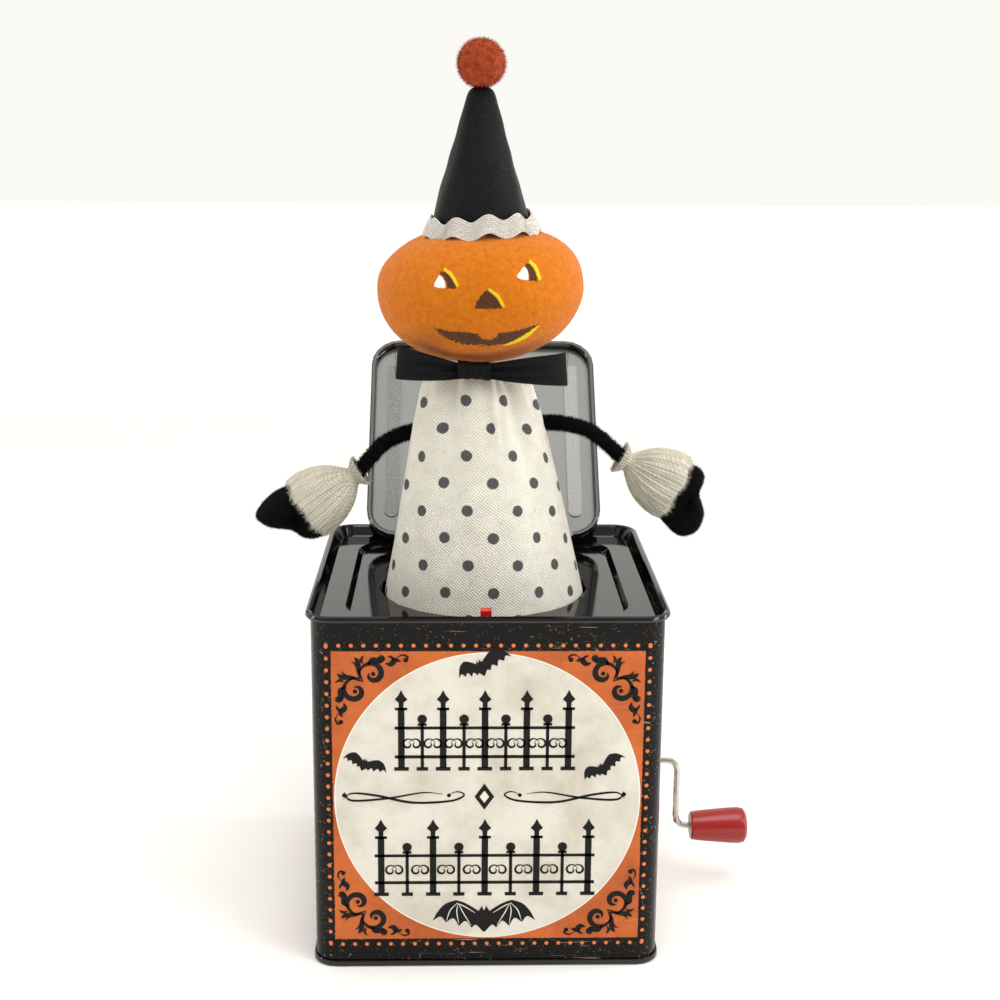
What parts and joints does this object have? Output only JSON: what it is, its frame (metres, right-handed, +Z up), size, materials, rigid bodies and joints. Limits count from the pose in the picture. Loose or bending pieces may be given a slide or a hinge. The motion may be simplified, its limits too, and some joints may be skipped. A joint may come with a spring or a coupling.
{
  "type": "jack in the box",
  "caption": "Square printed tin with a hinged lid, a side crank and a sprung pumpkin-headed cloth doll standing out of it on a coil spring.",
  "frame": {"origin": "middle of the tin's underside, on the surface it stands on", "axes": "+Z up along the doll's spring, -Y towards the printed front, +X towards the crank"},
  "size_m": [0.2152, 0.2065, 0.3696],
  "materials": {
    "black_enamel": "gloss",
    "printed_tin": "gloss",
    "bare_steel": "satin",
    "spring_steel": "satin",
    "nickel_wire": "polished",
    "brass": "satin",
    "red_enamel": "gloss",
    "red_plastic": "gloss",
    "birch": "matte",
    "orange_felt": "matte",
    "black_satin": "satin",
    "cream_braid": "matte",
    "dotted_linen": "matte",
    "rust_wool": "matte",
    "black_chenille": "matte",
    "cream_gauze": "matte",
    "black_felt": "matte"
  },
  "bodies": {
    "tin": {"tin_body": "printed_tin", "tin_base": "black_enamel", "top_panel": "black_enamel", "hinge_pin": "bare_steel", "spring_seat": "bare_steel", "coil_spring": "spring_steel", "movement_frame": "bare_steel", "music_comb": "bare_steel", "comb_screw_1": "brass", "comb_screw_2": "brass", "movement_rivet_1": "bare_steel", "movement_rivet_2": "bare_steel", "movement_rivet_3": "bare_steel", "crank_eyelet": "brass", "latch_bracket": "bare_steel", "latch_pin": "bare_steel", "latch_spring": "spring_steel"},
    "lid": {"lid_panel": "black_enamel"},
    "latch": {"latch_lever": "red_enamel"},
    "crank": {"crank_rod": "nickel_wire", "drive_pinion": "brass", "crank_clip": "bare_steel"},
    "knob": {"crank_knob": "red_plastic"},
    "drum": {"music_drum": "brass", "drum_gear": "brass", "drum_shaft": "bare_steel", "trip_cam": "bare_steel"},
    "doll": {"spring_cap": "bare_steel", "neck_dowel": "birch", "pumpkin_head": "orange_felt", "hat": "black_satin", "hat_trim": "cream_braid", "bow_left_loop": "black_satin", "bow_right_loop": "black_satin", "bow_knot": "black_satin", "dress": "dotted_linen"},
    "pompom": {"hat_pompom": "rust_wool"},
    "shoulders": {"arm_ring": "spring_steel"},
    "arm_left": {"left_arm": "black_chenille", "left_cuff": "cream_gauze", "left_hand": "black_felt"},
    "arm_right": {"right_arm": "black_chenille", "right_cuff": "cream_gauze", "right_hand": "black_felt"}
  },
  "joints": [
    {"name": "lid_hinge", "type": "hinge", "parent": "tin", "child": "lid", "pos_m": [0, 0.057, 0.1458], "axis": [1, 0, 0], "range_deg": [0, 132]},
    {"name": "latch_rock", "type": "hinge", "parent": "tin", "child": "latch", "pos_m": [0, -0.06025, 0.012], "axis": [1, 0, 0], "range_deg": [0, 1.7], "stiffness_Nm_per_rad": 0.8, "springref_deg": -2.86},
    {"name": "crank_turn", "type": "hinge", "parent": "tin", "child": "crank", "pos_m": [0, 0, 0.0592], "axis": [1, 0, 0], "continuous": true},
    {"name": "knob_spin", "type": "hinge", "parent": "crank", "child": "knob", "pos_m": [0, 0, 0.0278], "axis": [1, 0, 0], "continuous": true},
    {"name": "drum_turn", "type": "hinge", "parent": "tin", "child": "drum", "pos_m": [0, 0, 0.0342], "axis": [1, 0, 0], "continuous": true},
    {"name": "doll_pop", "type": "slide", "parent": "tin", "child": "doll", "axis": [-0.0084, 0, 1], "range_m": [-0.2151, 0], "stiffness_N_per_m": 25, "springref_m": 0.08, "deforming": ["coil_spring", "dress"]},
    {"name": "pompom_drop", "type": "slide", "parent": "doll", "child": "pompom", "axis": [0, 0, 1], "range_m": [-0.0451, 0], "deforming": ["hat"]},
    {"name": "shoulder_drop", "type": "slide", "parent": "tin", "child": "shoulders", "axis": [-0.0084, 0, 1], "range_m": [-0.1961, 0]},
    {"name": "left_arm_fold", "type": "hinge", "parent": "shoulders", "child": "arm_left", "pos_m": [-0.0219, -0.005, 0.2106], "axis": [0.2762, 0.8336, -0.4783], "range_deg": [0, 94.1], "deforming": ["left_arm", "left_cuff", "left_hand"]},
    {"name": "right_arm_fold", "type": "hinge", "parent": "shoulders", "child": "arm_right", "pos_m": [0.02, -0.005, 0.2126], "axis": [0.2762, -0.8336, 0.4783], "range_deg": [0, 94.1], "deforming": ["right_arm", "right_cuff", "right_hand"]}
  ],
  "couplings": [
    {"joint": "drum_turn", "follows": "crank_turn", "ratio": -0.31579},
    {"joint": "doll_pop", "follows": "lid_hinge", "m_per_rad": -0.093323},
    {"joint": "pompom_drop", "follows": "lid_hinge", "m_per_rad": -0.019533},
    {"joint": "shoulder_drop", "follows": "lid_hinge", "m_per_rad": -0.085076},
    {"joint": "left_arm_fold", "follows": "lid_hinge", "ratio": 0.71212},
    {"joint": "right_arm_fold", "follows": "lid_hinge", "ratio": 0.71212}
  ]
}
